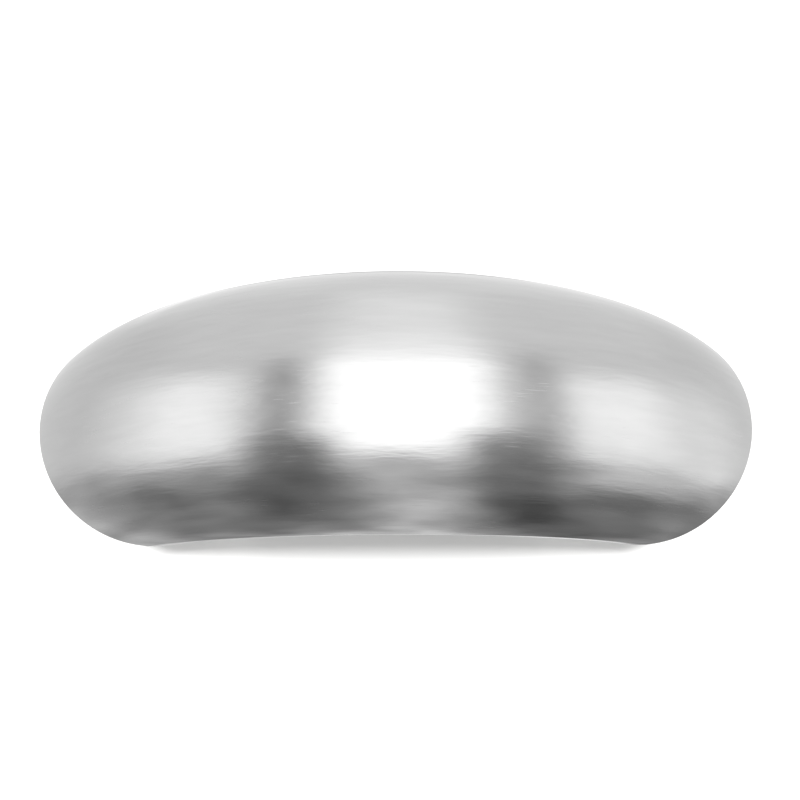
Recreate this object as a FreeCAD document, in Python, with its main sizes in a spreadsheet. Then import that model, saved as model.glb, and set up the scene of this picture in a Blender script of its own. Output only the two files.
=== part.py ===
import FreeCAD, Part
import Sketcher
import math
import os

# A 90 degree long-radius elbow in thin stainless tube, pressed as two half shells that are welded
# together along both sides. Millimetres. It stands as an arch on its two end rims: X runs from end
# to end, Y is parallel to the bend's axis, +Z is up, and the origin is on the floor under the crown.

os.makedirs("parts", exist_ok=True)
doc = FreeCAD.newDocument("TubeElbow")

DRIVING_SIZES = (
    ("tube_od", "101.6", "outside diameter of the tube"),
    ("wall", "2", "wall thickness"),
    ("bend_radius", "152.4", "bend's axis to the tube's centre line, 1.5 diameters"),
    ("bend_angle", "90", "degrees turned by the curved stretch"),
    ("end_straight", "4", "straight, sized stretch at each end"),
    ("edge_break", "0.5", "chamfer round each rim, inside and out"),
    ("weld_width", "3", "width of each side seam"),
    ("weld_crown", "0.1", "how far a seam stands out of the wall"),
    ("weld_root", "0.2", "how far a seam stands into the bore"),
)

sizes = doc.addObject("Spreadsheet::Sheet", "Sizes")
for row, (alias, number, meaning) in enumerate(DRIVING_SIZES, start=1):
    sizes.set(f"A{row}", meaning)
    sizes.set(f"B{row}", number)
    sizes.setAlias(f"B{row}", alias)
doc.recompute()

OUTER_RADIUS = "Sizes.tube_od / 2"
INNER_RADIUS = "Sizes.tube_od / 2 - Sizes.wall"

# The rims touch the floor on their throat side. This is that point's height over the bend's axis,
# so each body is lowered by it from its sketch, which has the axis at zero.
SEAT_HEIGHT = (
    "(Sizes.bend_radius - Sizes.tube_od / 2 + Sizes.edge_break) * cos(Sizes.bend_angle * 0.5 deg)"
    " - Sizes.end_straight * sin(Sizes.bend_angle * 0.5 deg)"
)

# Places on a sketch's geometry, and the geometry numbers of its origin and its vertical axis.
START, END, CENTRE = 1, 2, 3
ORIGIN, VERTICAL_AXIS = -1, -2

# Two directions count as the same when the cosine between them is over this.
SAME_DIRECTION = 0.999


def new_body(name):
    """A body lowered so that the finished elbow stands on the floor."""
    body = doc.addObject("PartDesign::Body", name)
    body.Label = name
    body.setExpression("Placement.Base.z", f"-({SEAT_HEIGHT})")
    return body


def section_sketch(body):
    """A sketch across the tube at the crown: its x is the body's Y, its y the body's Z."""
    plane = next(item for item in body.Origin.OriginFeatures if item.Role == "YZ_Plane")
    sketch = body.newObject("Sketcher::SketchObject", body.Name + "_section")
    sketch.AttachmentSupport = [(plane, "")]
    sketch.MapMode = "FlatFace"
    return sketch


def fix_size(sketch, expression, *constraint):
    """Add a constraint and bind its size to the sheet."""
    index = sketch.addConstraint(Sketcher.Constraint(*constraint))
    sketch.setExpression(f"Constraints[{index}]", expression)


def vector(x, y):
    return FreeCAD.Vector(x, y, 0)


def arc_about(centre, radius, first_angle, last_angle):
    """An arc drawn anticlockwise from first_angle to last_angle, in degrees."""
    circle = Part.Circle(centre, FreeCAD.Vector(0, 0, 1), radius)
    return Part.ArcOfCircle(circle, math.radians(first_angle), math.radians(last_angle))


def draw_half_shell(sketch, direction):
    """Half of the tube's ring, open by half a weld at each side. Direction +1 is the bend's back."""
    centre = vector(0, sizes.bend_radius)
    outer_radius = sizes.tube_od / 2
    inner_radius = outer_radius - sizes.wall
    gap_angle = math.degrees(math.asin(sizes.weld_width / sizes.tube_od))
    first, last = (gap_angle, 180 - gap_angle) if direction > 0 else (180 + gap_angle, 360 - gap_angle)
    outer = sketch.addGeometry(arc_about(centre, outer_radius, first, last))
    inner = sketch.addGeometry(arc_about(centre, inner_radius, first, last))
    for place in (START, END):
        ends = [sketch.getPoint(inner, place), sketch.getPoint(outer, place)]
        edge = sketch.addGeometry(Part.LineSegment(*ends))
        sketch.addConstraint(Sketcher.Constraint("Coincident", edge, START, inner, place))
        sketch.addConstraint(Sketcher.Constraint("Coincident", edge, END, outer, place))
        sketch.addConstraint(Sketcher.Constraint("PointOnObject", outer, CENTRE, edge))
        signed_half_width = f"{'' if direction > 0 else '-'}Sizes.weld_width / 2"
        rise = direction * sizes.weld_width / 2
        fix_size(sketch, signed_half_width, "DistanceY", outer, CENTRE, outer, place, rise)
    sketch.addConstraint(Sketcher.Constraint("Coincident", inner, CENTRE, outer, CENTRE))
    sketch.addConstraint(Sketcher.Constraint("PointOnObject", outer, CENTRE, VERTICAL_AXIS))
    fix_size(sketch, "Sizes.bend_radius", "DistanceY", ORIGIN, START, outer, CENTRE, centre.y)
    fix_size(sketch, OUTER_RADIUS, "Radius", outer, outer_radius)
    fix_size(sketch, INNER_RADIUS, "Radius", inner, inner_radius)


def crowned_arc(half_width, chord, apex, side):
    """An arc over a seam's chord, through its apex. Both are distances from the tube's centre."""
    bulge = apex - chord
    radius = (half_width ** 2 + bulge ** 2) / (2 * abs(bulge))
    centre_x = side * (apex - math.copysign(radius, bulge))
    spread = math.degrees(math.asin(half_width / radius))
    facing = 0 if side * bulge > 0 else 180
    return arc_about(vector(centre_x, sizes.bend_radius), radius, facing - spread, facing + spread)


def end_on_side(sketch, arc, rise):
    """Which end of an arc lies on the rise's side of the tube's centre."""
    above = sketch.getPoint(arc, START).y - sizes.bend_radius
    return START if above * rise > 0 else END


def draw_weld(sketch, side):
    """One side seam: the wall's full thickness, crowned outside and rounded into the bore."""
    centre_y = sizes.bend_radius
    outer_radius = sizes.tube_od / 2
    inner_radius = outer_radius - sizes.wall
    half_width = sizes.weld_width / 2
    outer_chord = math.sqrt(outer_radius ** 2 - half_width ** 2)
    inner_half_width = half_width * inner_radius / outer_radius
    inner_chord = outer_chord * inner_radius / outer_radius
    crown_apex = outer_radius + sizes.weld_crown
    root_apex = inner_radius - sizes.weld_root

    crown = sketch.addGeometry(crowned_arc(half_width, outer_chord, crown_apex, side))
    root = sketch.addGeometry(crowned_arc(inner_half_width, inner_chord, root_apex, side))
    centre, upright = vector(0, centre_y), FreeCAD.Vector(0, 0, 1)
    outer_guide = sketch.addGeometry(Part.Circle(centre, upright, outer_radius), True)
    inner_guide = sketch.addGeometry(Part.Circle(centre, upright, inner_radius), True)
    sketch.addConstraint(Sketcher.Constraint("PointOnObject", outer_guide, CENTRE, VERTICAL_AXIS))
    sketch.addConstraint(Sketcher.Constraint("Coincident", inner_guide, CENTRE, outer_guide, CENTRE))
    fix_size(sketch, "Sizes.bend_radius", "DistanceY", ORIGIN, START, outer_guide, CENTRE, centre_y)
    fix_size(sketch, OUTER_RADIUS, "Radius", outer_guide, outer_radius)
    fix_size(sketch, INNER_RADIUS, "Radius", inner_guide, inner_radius)

    for rise in (half_width, -half_width):
        crown_end = end_on_side(sketch, crown, rise)
        root_end = end_on_side(sketch, root, rise)
        ends = [sketch.getPoint(root, root_end), sketch.getPoint(crown, crown_end)]
        flank = sketch.addGeometry(Part.LineSegment(*ends))
        sketch.addConstraint(Sketcher.Constraint("Coincident", flank, START, root, root_end))
        sketch.addConstraint(Sketcher.Constraint("Coincident", flank, END, crown, crown_end))
        sketch.addConstraint(Sketcher.Constraint("PointOnObject", outer_guide, CENTRE, flank))
        sketch.addConstraint(Sketcher.Constraint("PointOnObject", flank, START, inner_guide))
        sketch.addConstraint(Sketcher.Constraint("PointOnObject", flank, END, outer_guide))
        signed_half_width = f"{'' if rise > 0 else '-'}Sizes.weld_width / 2"
        fix_size(sketch, signed_half_width, "DistanceY", outer_guide, CENTRE, flank, END, rise)

    reaches = ((crown, OUTER_RADIUS + " + Sizes.weld_crown", crown_apex),
               (root, INNER_RADIUS + " - Sizes.weld_root", root_apex))
    for arc, expression, reach in reaches:
        apex = sketch.addGeometry(Part.Point(vector(side * reach, centre_y)), True)
        sketch.addConstraint(Sketcher.Constraint("PointOnObject", apex, START, arc))
        sketch.addConstraint(Sketcher.Constraint("Horizontal", apex, START, outer_guide, CENTRE))
        signed_reach = expression if side > 0 else f"-({expression})"
        fix_size(sketch, signed_reach, "DistanceX", ORIGIN, START, apex, START, side * reach)


def bend(body, sketch):
    """Turn the section about the bend's axis, half of the angle to each side of the crown."""
    turn = body.newObject("PartDesign::Revolution", body.Name + "_bend")
    turn.Profile = sketch
    turn.ReferenceAxis = (sketch, ["H_Axis"])
    turn.Midplane = True
    turn.setExpression("Angle", "Sizes.bend_angle")
    doc.recompute()
    return turn


def end_faces(shape):
    """The flat faces that look down and out along X at the two ends, by number."""
    half_angle = math.radians(sizes.bend_angle / 2)
    found = []
    for number, face in enumerate(shape.Faces, start=1):
        normal = face.normalAt(0, 0)
        out_of_end = abs(normal.x) * math.cos(half_angle) - normal.z * math.sin(half_angle)
        if isinstance(face.Surface, Part.Plane) and out_of_end > SAME_DIRECTION:
            found.append((number, face))
    return found


def add_end_straights(body):
    """Carry both ends on in a straight line."""
    for side, label in ((-1, "left"), (1, "right")):
        base = body.Tip
        ends = [number for number, face in end_faces(base.Shape) if side * face.CenterOfMass.x > 0]
        pad = body.newObject("PartDesign::Pad", f"{body.Name}_{label}_straight")
        pad.Profile = (base, [f"Face{ends[0]}"])
        pad.setExpression("Length", "Sizes.end_straight")
        doc.recompute()


def break_rims(body):
    """Chamfer the outside and inside edge of each end."""
    base = body.Tip
    rims = [edge for _, face in end_faces(base.Shape) for edge in face.Edges
            if isinstance(edge.Curve, Part.Circle)]
    names = [f"Edge{number}" for number, edge in enumerate(base.Shape.Edges, start=1)
             if any(edge.isSame(rim) for rim in rims)]
    chamfer = body.newObject("PartDesign::Chamfer", body.Name + "_edge_break")
    chamfer.Base = (base, names)
    chamfer.setExpression("Size", "Sizes.edge_break")
    doc.recompute()


def make_piece(name, draw, side):
    """One piece, from its section to its finished rims."""
    body = new_body(name)
    sketch = section_sketch(body)
    draw(sketch, side)
    doc.recompute()
    bend(body, sketch)
    add_end_straights(body)
    break_rims(body)
    return body


pieces = [
    make_piece("back_shell", draw_half_shell, 1),
    make_piece("throat_shell", draw_half_shell, -1),
    make_piece("front_seam_weld", draw_weld, -1),
    make_piece("rear_seam_weld", draw_weld, 1),
]

doc.recompute()
for item in doc.Objects:
    if "Invalid" in item.State or "Error" in item.State:
        raise RuntimeError(f"{item.Label} did not build: {item.State}")
for piece in pieces:
    if piece.Shape.isNull() or not piece.Shape.isValid() or len(piece.Shape.Solids) != 1:
        raise RuntimeError(f"{piece.Label} is not one sound solid")

for piece in pieces:
    piece.Shape.exportStep(f"parts/{piece.Label}.step")
    box = piece.Shape.optimalBoundingBox()
    print(f"{piece.Label}: {piece.Shape.Volume:.0f} mm3, x {box.XMin:.2f} to {box.XMax:.2f},"
          f" y {box.YMin:.2f} to {box.YMax:.2f}, z {box.ZMin:.2f} to {box.ZMax:.2f}")
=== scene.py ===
import math
import bmesh
import bpy
from mathutils import Matrix, Vector


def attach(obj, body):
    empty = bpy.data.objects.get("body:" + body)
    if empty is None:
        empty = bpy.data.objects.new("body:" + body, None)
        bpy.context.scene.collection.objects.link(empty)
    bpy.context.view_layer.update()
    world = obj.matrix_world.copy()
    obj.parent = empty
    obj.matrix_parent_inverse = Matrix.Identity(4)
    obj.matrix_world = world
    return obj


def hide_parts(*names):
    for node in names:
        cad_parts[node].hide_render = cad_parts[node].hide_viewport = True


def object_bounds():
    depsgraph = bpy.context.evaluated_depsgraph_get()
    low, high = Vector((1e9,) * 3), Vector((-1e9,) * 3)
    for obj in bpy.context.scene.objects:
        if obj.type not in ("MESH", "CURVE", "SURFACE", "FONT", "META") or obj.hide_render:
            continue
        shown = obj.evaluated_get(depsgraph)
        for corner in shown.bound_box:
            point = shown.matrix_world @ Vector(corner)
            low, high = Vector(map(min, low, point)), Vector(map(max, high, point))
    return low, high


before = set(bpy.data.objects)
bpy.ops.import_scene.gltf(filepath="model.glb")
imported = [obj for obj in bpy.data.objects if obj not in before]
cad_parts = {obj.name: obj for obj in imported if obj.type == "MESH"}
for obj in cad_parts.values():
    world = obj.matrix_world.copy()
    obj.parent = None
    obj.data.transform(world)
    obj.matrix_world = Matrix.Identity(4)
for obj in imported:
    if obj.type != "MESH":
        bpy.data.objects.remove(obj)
cadLow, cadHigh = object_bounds()
print("frame loaded:", ", ".join(sorted(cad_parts)))

millimetre = 0.001

# the Mix node's sockets share their names, so they are taken by number
mixFactor, mixFrom, mixTo, mixFromColour, mixToColour, mixedColour = 0, 2, 3, 6, 7, 2

# nearly all of a noise texture's values lie between these
noiseRange = (0.3, 0.7)


def linearColour(hexCode):
    # sRGB hex to the linear values that the shaders take
    channels = [int(hexCode[i:i + 2], 16) / 255 for i in (1, 3, 5)]
    linear = [c / 12.92 if c <= 0.04045 else ((c + 0.055) / 1.055) ** 2.4 for c in channels]
    return linear + [1.0]


def addNode(tree, kind, inputs=(), **settings):
    # one node with its settings; an input that is a socket becomes a link, any other a constant
    node = tree.nodes.new(kind)
    for name, value in settings.items():
        setattr(node, name, value)
    for name, value in inputs.items() if isinstance(inputs, dict) else enumerate(inputs):
        if isinstance(value, bpy.types.NodeSocket):
            tree.links.new(value, node.inputs[name])
        else:
            node.inputs[name].default_value = value
    return node.outputs


# what the four pieces share, as the frame has it
elbow = {
    "tubeRadius": 50.8 * millimetre,
    "bendRadius": 152.4 * millimetre,
    "halfBend": math.radians(45),
    "endStraight": 4 * millimetre,
    "wall": 2 * millimetre,
    "weldWidth": 3 * millimetre,
}
axisHeight = cadHigh.z - elbow["bendRadius"] - elbow["tubeRadius"]
halfLength = elbow["bendRadius"] * elbow["halfBend"] + elbow["endStraight"]
gapAngle = math.asin(elbow["weldWidth"] / 2 / elbow["tubeRadius"])


def makeBentSheetTree():
    # a grid laid round the tube and along the bend; the same tree makes the shells and the seams
    tree = bpy.data.node_groups.new("bentSheet", "GeometryNodeTree")
    sockets = (("Along", "NodeSocketInt"), ("Around", "NodeSocketInt"),
               ("From Angle", "NodeSocketFloat"), ("To Angle", "NodeSocketFloat"),
               ("Tube Radius", "NodeSocketFloat"), ("Bend Radius", "NodeSocketFloat"),
               ("Half Bend", "NodeSocketFloat"), ("Half Length", "NodeSocketFloat"),
               ("Axis Height", "NodeSocketFloat"), ("Crown", "NodeSocketFloat"),
               ("Ripple Height", "NodeSocketFloat"), ("Ripple Pitch", "NodeSocketFloat"),
               ("Wave Height", "NodeSocketFloat"), ("Wave Length", "NodeSocketFloat"),
               ("Material", "NodeSocketMaterial"))
    for name, kind in sockets:
        tree.interface.new_socket(name, in_out="INPUT", socket_type=kind)
    tree.interface.new_socket("Geometry", in_out="OUTPUT", socket_type="NodeSocketGeometry")
    given = addNode(tree, "NodeGroupInput")
    maths = "ShaderNodeMath"

    # how far along the bend and how far round the tube each point lies
    grid = addNode(tree, "GeometryNodeMeshGrid", {
        "Size X": 2.0, "Size Y": 2.0, "Vertices X": given["Along"], "Vertices Y": given["Around"]})
    place = addNode(tree, "ShaderNodeSeparateXYZ", (addNode(tree, "GeometryNodeInputPosition")[0],))
    along = addNode(tree, maths, (place["X"], given["Half Length"]), operation="MULTIPLY")[0]
    turn = addNode(tree, "ShaderNodeMapRange", {
        "Value": place["Y"], "From Min": -1.0, "From Max": 1.0,
        "To Min": given["From Angle"], "To Max": given["To Angle"]})[0]
    arc = addNode(tree, maths, (turn, given["Tube Radius"]), operation="MULTIPLY")[0]
    sheetPlace = addNode(tree, "ShaderNodeCombineXYZ", (along, arc))[0]

    # the curved stretch ends at the half angle, and what is left of the length runs straight on
    unlimited = addNode(tree, maths, (along, given["Bend Radius"]), operation="DIVIDE")[0]
    otherHalf = addNode(tree, maths, (given["Half Bend"], -1.0), operation="MULTIPLY")[0]
    bend = addNode(tree, "ShaderNodeClamp", (unlimited, otherHalf, given["Half Bend"]))[0]
    beyond = addNode(tree, maths, (unlimited, bend), operation="SUBTRACT")[0]
    straight = addNode(tree, maths, (beyond, given["Bend Radius"]), operation="MULTIPLY")[0]

    # the sheet keeps low waves from its pressing, which die out towards the sized ends
    waveScale = addNode(tree, maths, (1.0, given["Wave Length"]), operation="DIVIDE")[0]
    wave = addNode(tree, "ShaderNodeTexNoise", {
        "Vector": sheetPlace, "Scale": waveScale, "Detail": 1.0, "Roughness": 0.4})[0]
    aside = addNode(tree, maths, (along,), operation="ABSOLUTE")[0]
    fromEnd = addNode(tree, maths, (given["Half Length"], aside), operation="SUBTRACT")[0]
    waveHeight = addNode(tree, "ShaderNodeMapRange", {
        "Value": fromEnd, "From Max": given["Wave Length"], "To Max": given["Wave Height"]},
        interpolation_type="SMOOTHSTEP")[0]
    centred = addNode(tree, maths, (wave, 2.0, -1.0), operation="MULTIPLY_ADD")[0]
    waved = addNode(tree, maths, (centred, waveHeight, given["Tube Radius"]),
                    operation="MULTIPLY_ADD")[0]

    # a weld's crown fades out at both toes, and its ripples trail back in crescents
    quarter = addNode(tree, maths, (place["Y"], math.pi / 2), operation="MULTIPLY")[0]
    slope = addNode(tree, maths, (quarter,), operation="COSINE")[0]
    hump = addNode(tree, maths, (slope, slope), operation="MULTIPLY")[0]
    squared = addNode(tree, maths, (place["Y"], place["Y"]), operation="MULTIPLY")[0]
    ripples = addNode(tree, maths, (along, given["Ripple Pitch"]), operation="DIVIDE")[0]
    trailing = addNode(tree, maths, (ripples, squared), operation="ADD")[0]
    phase = addNode(tree, maths, (trailing, 2 * math.pi), operation="MULTIPLY")[0]
    rippled = addNode(tree, maths, (phase,), operation="SINE")[0]
    crown = addNode(tree, maths, (rippled, given["Ripple Height"], given["Crown"]),
                    operation="MULTIPLY_ADD")[0]
    radius = addNode(tree, maths, (hump, crown, waved), operation="MULTIPLY_ADD")[0]

    # from there to the place in the frame
    outward = addNode(tree, maths, (turn,), operation="COSINE")[0]
    reach = addNode(tree, maths, (radius, outward, given["Bend Radius"]),
                    operation="MULTIPLY_ADD")[0]
    sideways = addNode(tree, maths, (turn,), operation="SINE")[0]
    y = addNode(tree, maths, (radius, sideways), operation="MULTIPLY")[0]
    sine = addNode(tree, maths, (bend,), operation="SINE")[0]
    cosine = addNode(tree, maths, (bend,), operation="COSINE")[0]
    runOut = addNode(tree, maths, (straight, cosine), operation="MULTIPLY")[0]
    x = addNode(tree, maths, (reach, sine, runOut), operation="MULTIPLY_ADD")[0]
    raised = addNode(tree, maths, (reach, cosine, given["Axis Height"]),
                     operation="MULTIPLY_ADD")[0]
    drop = addNode(tree, maths, (straight, sine), operation="MULTIPLY")[0]
    z = addNode(tree, maths, (raised, drop), operation="SUBTRACT")[0]
    position = addNode(tree, "ShaderNodeCombineXYZ", (x, y, z))[0]

    kept = addNode(tree, "GeometryNodeStoreNamedAttribute", {
        "Geometry": grid["Mesh"], "Name": "sheetPlace", "Value": sheetPlace},
        data_type="FLOAT_VECTOR", domain="POINT")[0]
    laid = addNode(tree, "GeometryNodeSetPosition", {"Geometry": kept, "Position": position})[0]
    real = addNode(tree, "GeometryNodeRealizeInstances", {"Geometry": laid})[0]
    finished = addNode(tree, "GeometryNodeSetMaterial", {
        "Geometry": real, "Material": given["Material"]})[0]
    addNode(tree, "NodeGroupOutput", {"Geometry": finished})
    return tree


def bentSheet(name, tree, values):
    # run the tree on an empty mesh, give the sheet its wall, and keep the result as a plain mesh
    holder = bpy.data.objects.new(name + "Rule", bpy.data.meshes.new(name + "Rule"))
    bpy.context.collection.objects.link(holder)
    rule = holder.modifiers.new("bentSheet", "NODES")
    rule.node_group = tree
    identifiers = {item.name: item.identifier for item in tree.interface.items_tree
                   if item.in_out == "INPUT"}
    shared = {"Tube Radius": elbow["tubeRadius"], "Bend Radius": elbow["bendRadius"],
              "Half Bend": elbow["halfBend"], "Half Length": halfLength, "Axis Height": axisHeight}
    for label, value in {**shared, **values}.items():
        rule[identifiers[label]] = value
    thicken = holder.modifiers.new("wall", "SOLIDIFY")
    thicken.thickness = elbow["wall"]
    thicken.offset = -1
    thicken.use_even_offset = True
    thicken.use_rim = True
    depsgraph = bpy.context.evaluated_depsgraph_get()
    mesh = bpy.data.meshes.new_from_object(holder.evaluated_get(depsgraph))
    bpy.data.objects.remove(holder)
    piece = bpy.data.objects.new(name, mesh)
    bpy.context.collection.objects.link(piece)
    return piece


def tubeDistance(point):
    # how far a point lies from the tube's centre line, and how far along the bend
    out = Vector((point.x, point.z - axisHeight))
    angle = math.atan2(out.x, out.y)
    limited = max(-elbow["halfBend"], min(elbow["halfBend"], angle))
    along = Vector((math.cos(limited), -math.sin(limited)))
    centre = Vector((math.sin(limited), math.cos(limited))) * elbow["bendRadius"]
    ahead = (out - centre).dot(along) if limited != angle else 0.0
    sideways = out - centre - along * ahead
    return math.hypot(sideways.length, point.y), elbow["bendRadius"] * abs(limited) + abs(ahead)


# how the bent sheets are finished at their ends
endFinish = {
    "segments": 3,
    "endTolerance": 0.01 * millimetre,
    "faceTolerance": 0.02 * millimetre,
    "rimAngle": math.radians(60),
    "sharpAngle": math.radians(50),
}


def finishSheet(piece, rimRadius, boreMaterial, rimMaterial):
    # round both rims, give the bore and the rims their own finish, and keep the corners crisp
    mesh = piece.data
    mesh.materials.append(boreMaterial)
    mesh.materials.append(rimMaterial)
    work = bmesh.new()
    work.from_mesh(mesh)
    places = {v: tubeDistance(v.co) for v in work.verts}
    endAt = halfLength - endFinish["endTolerance"]
    ends = {v for v, (distance, along) in places.items() if along > endAt}
    rims = [e for e in work.edges
            if set(e.verts) <= ends and e.calc_face_angle() > endFinish["rimAngle"]
            and abs(places[e.verts[0]][0] - places[e.verts[1]][0]) < elbow["wall"] / 2]
    bmesh.ops.bevel(work, geom=rims, offset=rimRadius, segments=endFinish["segments"],
                    profile=0.5, affect="EDGES", clamp_overlap=True)
    middle = elbow["tubeRadius"] - elbow["wall"] / 2
    boreSlot, rimSlot = 1, 2
    for face in work.faces:
        distance, along = tubeDistance(face.calc_center_median())
        if along > halfLength - endFinish["faceTolerance"]:
            face.material_index = rimSlot
        elif distance < middle:
            face.material_index = boreSlot
        face.smooth = True
    work.normal_update()
    work.to_mesh(mesh)
    work.free()
    mesh.set_sharp_from_angle(angle=endFinish["sharpAngle"])


def newMaterial(name):
    material = bpy.data.materials.new(name)
    material.use_nodes = True
    material.node_tree.nodes.clear()
    return material


# what the stainless finishes share: only the noise's peaks are scratches, which lie a few degrees
# off the wisps, and the finish turns towards a mirror over this range of the facing value
steelFinish = {
    "scratchRange": (0.68, 0.8),
    "scratchTurn": 0.09,
    "glanceRange": (0.7, 0.95),
}

# satin stainless, belt-polished along the bend: a soft bright metal that blurs what it mirrors,
# with ragged wisps where the belt overlapped and a few short scratches that catch the light
satin = {
    "colour": "#C6C6C6",
    "darkColour": "#BEBEBE",
    "roughness": (0.15, 0.22),
    "cloudSize": 28 * millimetre,
    "wispLength": 17 * millimetre,
    "wispWidth": 3.5 * millimetre,
    "wispDepth": 0.07 * millimetre,
    "scratchLength": 8 * millimetre,
    "scratchWidth": 0.45 * millimetre,
    "scratchRoughness": 0.08,
    "glance": 0.25,
}


def steelMaterial(name, look):
    material = newMaterial(name)
    tree = material.node_tree
    place = addNode(tree, "ShaderNodeAttribute", attribute_name="sheetPlace")["Vector"]
    clouds = addNode(tree, "ShaderNodeTexNoise", {
        "Vector": place, "Scale": 1 / look["cloudSize"], "Detail": 3.0, "Roughness": 0.55},
        noise_dimensions="2D")[0]
    wispPlace = addNode(tree, "ShaderNodeMapping", {
        "Vector": place, "Scale": (1 / look["wispLength"], 1 / look["wispWidth"], 1.0)})[0]
    wisps = addNode(tree, "ShaderNodeTexNoise", {
        "Vector": wispPlace, "Scale": 1.0, "Detail": 3.0, "Roughness": 0.55, "Distortion": 0.12},
        noise_dimensions="2D")[0]
    scratchPlace = addNode(tree, "ShaderNodeMapping", {
        "Vector": place, "Rotation": (0.0, 0.0, steelFinish["scratchTurn"]),
        "Scale": (1 / look["scratchLength"], 1 / look["scratchWidth"], 1.0)})[0]
    scratches = addNode(tree, "ShaderNodeTexNoise", {
        "Vector": scratchPlace, "Scale": 1.0, "Detail": 1.0, "Roughness": 0.5},
        noise_dimensions="2D")[0]
    low, high = look["roughness"]
    blurred = addNode(tree, "ShaderNodeMapRange", {
        "Value": clouds, "From Min": noiseRange[0], "From Max": noiseRange[1],
        "To Min": low, "To Max": high})[0]
    scratched = addNode(tree, "ShaderNodeMapRange", {
        "Value": scratches, "From Min": steelFinish["scratchRange"][0],
        "From Max": steelFinish["scratchRange"][1], "To Max": look["scratchRoughness"]})[0]
    summed = addNode(tree, "ShaderNodeMath", (blurred, scratched), operation="ADD")[0]
    # at a glancing angle the finish turns nearly to a mirror
    facing = addNode(tree, "ShaderNodeLayerWeight", {"Blend": 0.5})["Facing"]
    glance = addNode(tree, "ShaderNodeMapRange", {
        "Value": facing, "From Min": steelFinish["glanceRange"][0],
        "From Max": steelFinish["glanceRange"][1], "To Min": 1.0, "To Max": look["glance"]})[0]
    roughness = addNode(tree, "ShaderNodeMath", (summed, glance), operation="MULTIPLY")[0]
    colour = addNode(tree, "ShaderNodeMix", {
        mixFactor: wisps, mixFromColour: linearColour(look["colour"]),
        mixToColour: linearColour(look["darkColour"])}, data_type="RGBA")[mixedColour]
    bump = addNode(tree, "ShaderNodeBump", {
        "Height": wisps, "Distance": look["wispDepth"], "Strength": 1.0})[0]
    shader = addNode(tree, "ShaderNodeBsdfPrincipled", {
        "Base Color": colour, "Metallic": 1.0, "Roughness": roughness, "Normal": bump})[0]
    addNode(tree, "ShaderNodeOutputMaterial", {"Surface": shader})
    return material


# the bore keeps the mill's matt annealed and pickled skin
millSkin = {
    "colour": "#BEBDBB",
    "darkColour": "#AAA9A6",
    "roughness": (0.40, 0.52),
    "cloudSize": 18 * millimetre,
    "wispLength": 6 * millimetre,
    "wispWidth": 3 * millimetre,
    "wispDepth": 0.05 * millimetre,
    "scratchLength": 12 * millimetre,
    "scratchWidth": 1.2 * millimetre,
    "scratchRoughness": 0.08,
    "glance": 0.6,
}

# the rims are faced square in a lathe, which leaves a fine bright grain
facedRim = {
    "colour": "#CFCFCE",
    "darkColour": "#BCBCBA",
    "roughness": (0.28, 0.36),
    "cloudSize": 9 * millimetre,
    "wispLength": 1.2 * millimetre,
    "wispWidth": 1.2 * millimetre,
    "wispDepth": 0.01 * millimetre,
    "scratchLength": 2 * millimetre,
    "scratchWidth": 0.4 * millimetre,
    "scratchRoughness": 0.08,
    "glance": 0.6,
}

# the seams are dressed flush with a finer wheel, so they show only as a slightly duller thread
dressedWeld = {
    "colour": "#C2C2C1",
    "darkColour": "#B8B8B7",
    "roughness": (0.18, 0.26),
    "cloudSize": 5 * millimetre,
    "wispLength": 9 * millimetre,
    "wispWidth": 1.0 * millimetre,
    "wispDepth": 0.02 * millimetre,
    "scratchLength": 5 * millimetre,
    "scratchWidth": 0.4 * millimetre,
    "scratchRoughness": 0.10,
    "glance": 0.6,
}

satinStainless = steelMaterial("satinStainless", satin)
pickledBore = steelMaterial("pickledStainlessBore", millSkin)
facedEdge = steelMaterial("facedStainlessRim", facedRim)
dressedSeam = steelMaterial("dressedStainlessWeld", dressedWeld)
print("materials made")

sheetTree = makeBentSheetTree()

# the two pressings: their walls keep a trace of unevenness from pressing and polishing
shells = {
    "along": 221,
    "around": 151,
    "rimRadius": 0.85 * millimetre,
    "waveHeight": 0.05 * millimetre,
    "waveLength": 26 * millimetre,
}


def makeShell(name, node, fromAngle, toAngle):
    piece = bentSheet(name, sheetTree, {
        "Along": shells["along"], "Around": shells["around"],
        "From Angle": fromAngle, "To Angle": toAngle, "Crown": 0.0, "Ripple Height": 0.0,
        "Ripple Pitch": 1.0, "Wave Height": shells["waveHeight"],
        "Wave Length": shells["waveLength"], "Material": satinStainless})
    finishSheet(piece, shells["rimRadius"], pickledBore, facedEdge)
    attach(piece, "root")
    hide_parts(node)
    print(name, "made with", len(piece.data.polygons), "faces")


sideAngle = math.pi / 2
makeShell("backShell", "back_shell", gapAngle - sideAngle, sideAngle - gapAngle)
makeShell("throatShell", "throat_shell",
          sideAngle + gapAngle, 3 * sideAngle - gapAngle)

# the side seams: a low crown with the last of the torch's ripples
seams = {
    "along": 481,
    "around": 9,
    "rimRadius": 0.85 * millimetre,
    "crown": 0.05 * millimetre,
    "rippleHeight": 0.014 * millimetre,
    "ripplePitch": 1.6 * millimetre,
}


def makeSeam(name, node, angle):
    piece = bentSheet(name, sheetTree, {
        "Along": seams["along"], "Around": seams["around"],
        "From Angle": angle - gapAngle, "To Angle": angle + gapAngle, "Crown": seams["crown"],
        "Ripple Height": seams["rippleHeight"], "Ripple Pitch": seams["ripplePitch"],
        "Wave Height": shells["waveHeight"], "Wave Length": shells["waveLength"],
        "Material": dressedSeam})
    finishSheet(piece, seams["rimRadius"], pickledBore, facedEdge)
    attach(piece, "root")
    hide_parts(node)
    print(name, "made with", len(piece.data.polygons), "faces")


makeSeam("frontSeam", "front_seam_weld", -sideAngle)
makeSeam("rearSeam", "rear_seam_weld", sideAngle)

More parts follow.
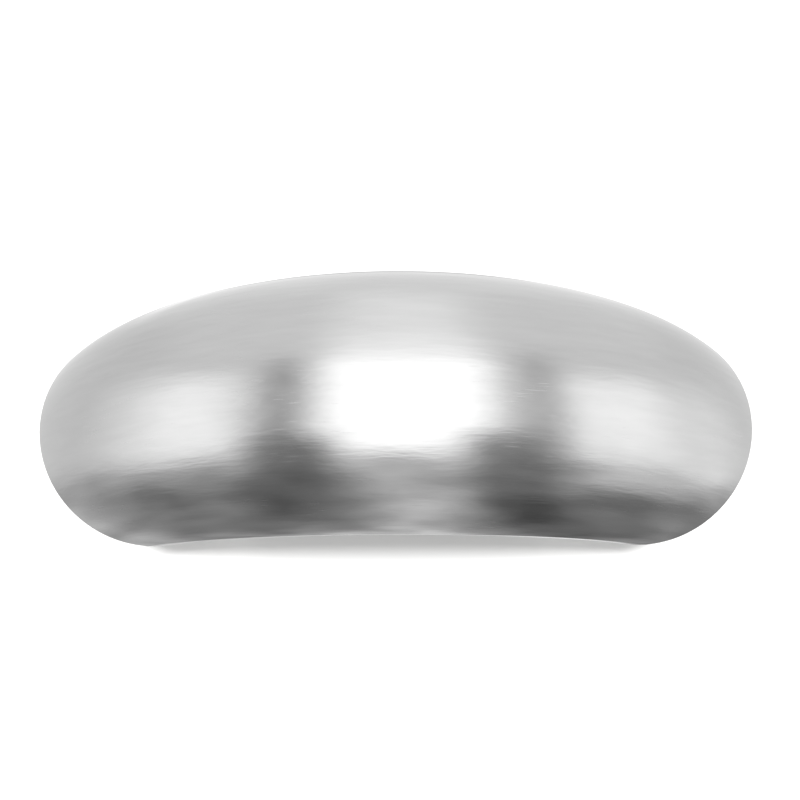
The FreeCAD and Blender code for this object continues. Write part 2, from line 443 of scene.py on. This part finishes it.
# a plain white paper floor, and the same white behind it; the metal mirrors the studio instead
floor = {"size": 6.0, "colour": "#F4F4F3", "roughness": 0.9}


def makeFloor():
    half = floor["size"] / 2
    mesh = bpy.data.meshes.new("paperFloor")
    corners = [(-half, -half, 0), (half, -half, 0), (half, half, 0), (-half, half, 0)]
    mesh.from_pydata(corners, [], [(0, 1, 2, 3)])
    paper = newMaterial("whitePaper")
    shader = addNode(paper.node_tree, "ShaderNodeBsdfPrincipled", {
        "Base Color": linearColour(floor["colour"]), "Roughness": floor["roughness"]})[0]
    addNode(paper.node_tree, "ShaderNodeOutputMaterial", {"Surface": shader})
    mesh.materials.append(paper)
    piece = bpy.data.objects.new("paperFloor", mesh)
    piece.visible_glossy = False
    bpy.context.collection.objects.link(piece)


makeFloor()

# the studio that the metal mirrors, in degrees across and up from the main softbox's axis, which
# leans from overhead towards the front. Each panel is its left, right and side softness, its low,
# high and end softness, and its brightness; a later panel covers the ones before it. Pairs of
# angles are where a change from one level to the next starts and ends
studio = {
    "axisLean": 18.6,
    "fill": 0.82,
    "backdrop": 1.0,
    "upper": 0.88,
    "paper": 1.08,
    "dark": 0.30,
    "wallFade": (-72, -24),
    "paperFade": (60, 120),
    "clutterFade": (-30, -60),
    "panels": (
        ("backWall", -72, 88, 14, 36, 96, 16, 1.01),
        ("leftWindow", -84, -42, 12, -38, 28, 16, 1.20),
        ("leftWindowPane", -69, -42, 11, -36, 24, 14, 1.60),
        ("rightWindow", 47, 104, 12, -54, 24, 22, 1.20),
        ("rightWindowPane", 46, 76, 11, -36, 24, 16, 1.58),
        ("leftGap", -36, -26, 7, -120, 34, 12, 0.36),
        ("rightGap", 34, 45, 6, -120, 42, 12, 0.64),
        ("softboxGlow", -18, 22, 12, -46, 104, 16, 1.32),
        ("softboxTop", -16, 23, 9, 20, 54, 13, 1.54),
        ("softbox", -20, 26, 7, -38, 36, 10, 2.05),
        ("leftGapFoot", -38, -16, 7, -116, -25, 10, 0.23),
        ("rightCorner", 18, 40, 7, -62, -22, 9, 0.34),
        ("rightGapFoot", 23, 43, 8, -124, -44, 14, 0.24),
        ("aisle", -8, 17, 9, -160, -46, 10, 0.76),
        ("rightShade", 26, 47, 10, -124, -78, 12, 0.09),
        ("rightFoot", 46, 88, 12, -140, -106, 12, 0.16),
        ("leftShade", -38, -24, 9, -108, -64, 12, 0.12),
        ("leftWall", -150, -82, 14, -118, -48, 16, 0.55),
        ("paperFoot", -60, 34, 14, -170, -138, 8, 0.60),
        ("paperAside", -150, -106, 12, 84, 130, 12, 1.22),
    ),
    "edgeAngle": 154,
    "edgeSoftness": 4,
    "edge": (0.68, 1.05),
    "edgeTurn": (60, 100),
    "clutterSize": 18,
    "clutter": 0.3,
}


def makeStudio():
    world = bpy.data.worlds.new("studio")
    bpy.context.scene.world = world
    world.use_nodes = True
    tree = world.node_tree
    tree.nodes.clear()
    direction = addNode(tree, "ShaderNodeTexCoord")["Generated"]
    lean = math.radians(studio["axisLean"])
    maths, ramp = "ShaderNodeMath", "ShaderNodeMapRange"

    # the direction as an angle from the axis, split into across and up
    cosLean, sinLean = math.cos(lean), math.sin(lean)
    sideways, upward, forward = [
        addNode(tree, "ShaderNodeVectorMath", (direction, vector), operation="DOT_PRODUCT")["Value"]
        for vector in ((1, 0, 0), (0, cosLean, sinLean), (0, -sinLean, cosLean))]
    radians = addNode(tree, maths, (forward,), operation="ARCCOSINE")[0]
    away = addNode(tree, maths, (radians,), operation="DEGREES")[0]
    flat = addNode(tree, "ShaderNodeCombineXYZ", (sideways, upward))[0]
    length = addNode(tree, "ShaderNodeVectorMath", (flat,), operation="LENGTH")["Value"]
    stretch = addNode(tree, maths, (away, length), operation="DIVIDE")[0]
    angles = addNode(tree, "ShaderNodeVectorMath", {0: flat, "Scale": stretch},
                     operation="SCALE")[0]
    split = addNode(tree, "ShaderNodeSeparateXYZ", (angles,))
    across, above = split["X"], split["Y"]

    # dark towards the front, a light wall overhead and behind, and the lit paper beyond it
    light = addNode(tree, ramp, {
        "Value": above, "From Min": studio["wallFade"][0], "From Max": studio["wallFade"][1],
        "To Min": studio["dark"], "To Max": studio["upper"]}, interpolation_type="SMOOTHSTEP")[0]
    beyond = addNode(tree, ramp, {
        "Value": above, "From Min": studio["paperFade"][0], "From Max": studio["paperFade"][1]},
        interpolation_type="SMOOTHSTEP")[0]
    light = addNode(tree, "ShaderNodeMix", {
        mixFactor: beyond, mixFrom: light, mixTo: studio["paper"]})[0]
    for name, left, right, sideSoft, low, high, endSoft, brightness in studio["panels"]:
        cover = 1.0
        for value, middle, soft in ((across, left, sideSoft), (across, right, -sideSoft),
                                    (above, low, endSoft), (above, high, -endSoft)):
            side = addNode(tree, ramp, {
                "Value": value, "From Min": middle - soft, "From Max": middle + soft},
                interpolation_type="SMOOTHSTEP")[0]
            cover = addNode(tree, maths, (cover, side), operation="MULTIPLY")[0]
        light = addNode(tree, "ShaderNodeMix", {
            mixFactor: cover, mixFrom: light, mixTo: brightness}, label=name)[0]

    # things standing about below the windows break the dark up
    clutter = addNode(tree, "ShaderNodeTexNoise", {
        "Vector": angles, "Scale": 1 / studio["clutterSize"], "Detail": 2.0},
        noise_dimensions="2D")[0]
    spread = addNode(tree, ramp, {
        "Value": clutter, "From Min": noiseRange[0], "From Max": noiseRange[1],
        "To Min": 1 - studio["clutter"], "To Max": 1 + studio["clutter"]})[0]
    below = addNode(tree, ramp, {
        "Value": above, "From Min": studio["clutterFade"][0],
        "From Max": studio["clutterFade"][1]}, interpolation_type="SMOOTHSTEP")[0]
    broken = addNode(tree, maths, (light, spread), operation="MULTIPLY")[0]
    light = addNode(tree, "ShaderNodeMix", {mixFactor: below, mixFrom: light, mixTo: broken})[0]

    # the lit paper close round the piece shows only at the steepest glance, brighter to the right
    nearby = addNode(tree, ramp, {
        "Value": away, "From Min": studio["edgeAngle"] - studio["edgeSoftness"],
        "From Max": studio["edgeAngle"] + studio["edgeSoftness"]},
        interpolation_type="SMOOTHSTEP")[0]
    edge = addNode(tree, ramp, {
        "Value": across, "From Min": studio["edgeTurn"][0], "From Max": studio["edgeTurn"][1],
        "To Min": studio["edge"][0], "To Max": studio["edge"][1]},
        interpolation_type="SMOOTHSTEP")[0]
    light = addNode(tree, "ShaderNodeMix", {mixFactor: nearby, mixFrom: light, mixTo: edge})[0]

    # only glossy rays see the panels; matt light is an even fill and the camera sees plain white
    rays = addNode(tree, "ShaderNodeLightPath")
    light = addNode(tree, "ShaderNodeMix", {
        mixFactor: rays["Is Glossy Ray"], mixFrom: studio["fill"], mixTo: light})[0]
    light = addNode(tree, "ShaderNodeMix", {
        mixFactor: rays["Is Camera Ray"], mixFrom: light, mixTo: studio["backdrop"]})[0]
    shader = addNode(tree, "ShaderNodeBackground", {
        "Color": (1, 1, 1, 1), "Strength": light})[0]
    addNode(tree, "ShaderNodeOutputWorld", {"Surface": shader})


makeStudio()

# one soft lamp overhead for the shadow on the paper; the metal doesn't mirror it
lamp = {"strength": 2.8, "angle": 9.0, "leanBack": 1.5}


def makeLamp():
    light = bpy.data.lights.new("overheadLamp", "SUN")
    light.energy = lamp["strength"]
    light.angle = math.radians(lamp["angle"])
    piece = bpy.data.objects.new("overheadLamp", light)
    piece.rotation_euler = (math.radians(-lamp["leanBack"]), 0, 0)
    piece.visible_glossy = False
    bpy.context.collection.objects.link(piece)


makeLamp()
print("studio made")

# the camera looks steeply down on the back of the bend from close by
camera = {
    "aim": Vector((2.7, 1.0, 83.3)) * millimetre,
    "distance": 236 * millimetre,
    "azimuth": 1.76,
    "elevation": 71.4,
    "roll": -1.98,
    "lens": 26.93,
}


def makeCamera():
    data = bpy.data.cameras.new("camera")
    data.lens = camera["lens"]
    data.clip_start = 0.01
    data.clip_end = 50
    around, above = math.radians(camera["azimuth"]), math.radians(camera["elevation"])
    back = Vector((math.sin(around) * math.cos(above), -math.cos(around) * math.cos(above),
                   math.sin(above)))
    facing = (-back).to_track_quat("-Z", "Y").to_matrix()
    turn = facing @ Matrix.Rotation(math.radians(camera["roll"]), 3, "Z")
    piece = bpy.data.objects.new("camera", data)
    place = camera["aim"] + back * camera["distance"]
    piece.matrix_world = Matrix.Translation(place) @ turn.to_4x4()
    bpy.context.collection.objects.link(piece)
    bpy.context.scene.camera = piece


makeCamera()
bpy.context.scene.view_settings.view_transform = "Standard"
print("camera placed")
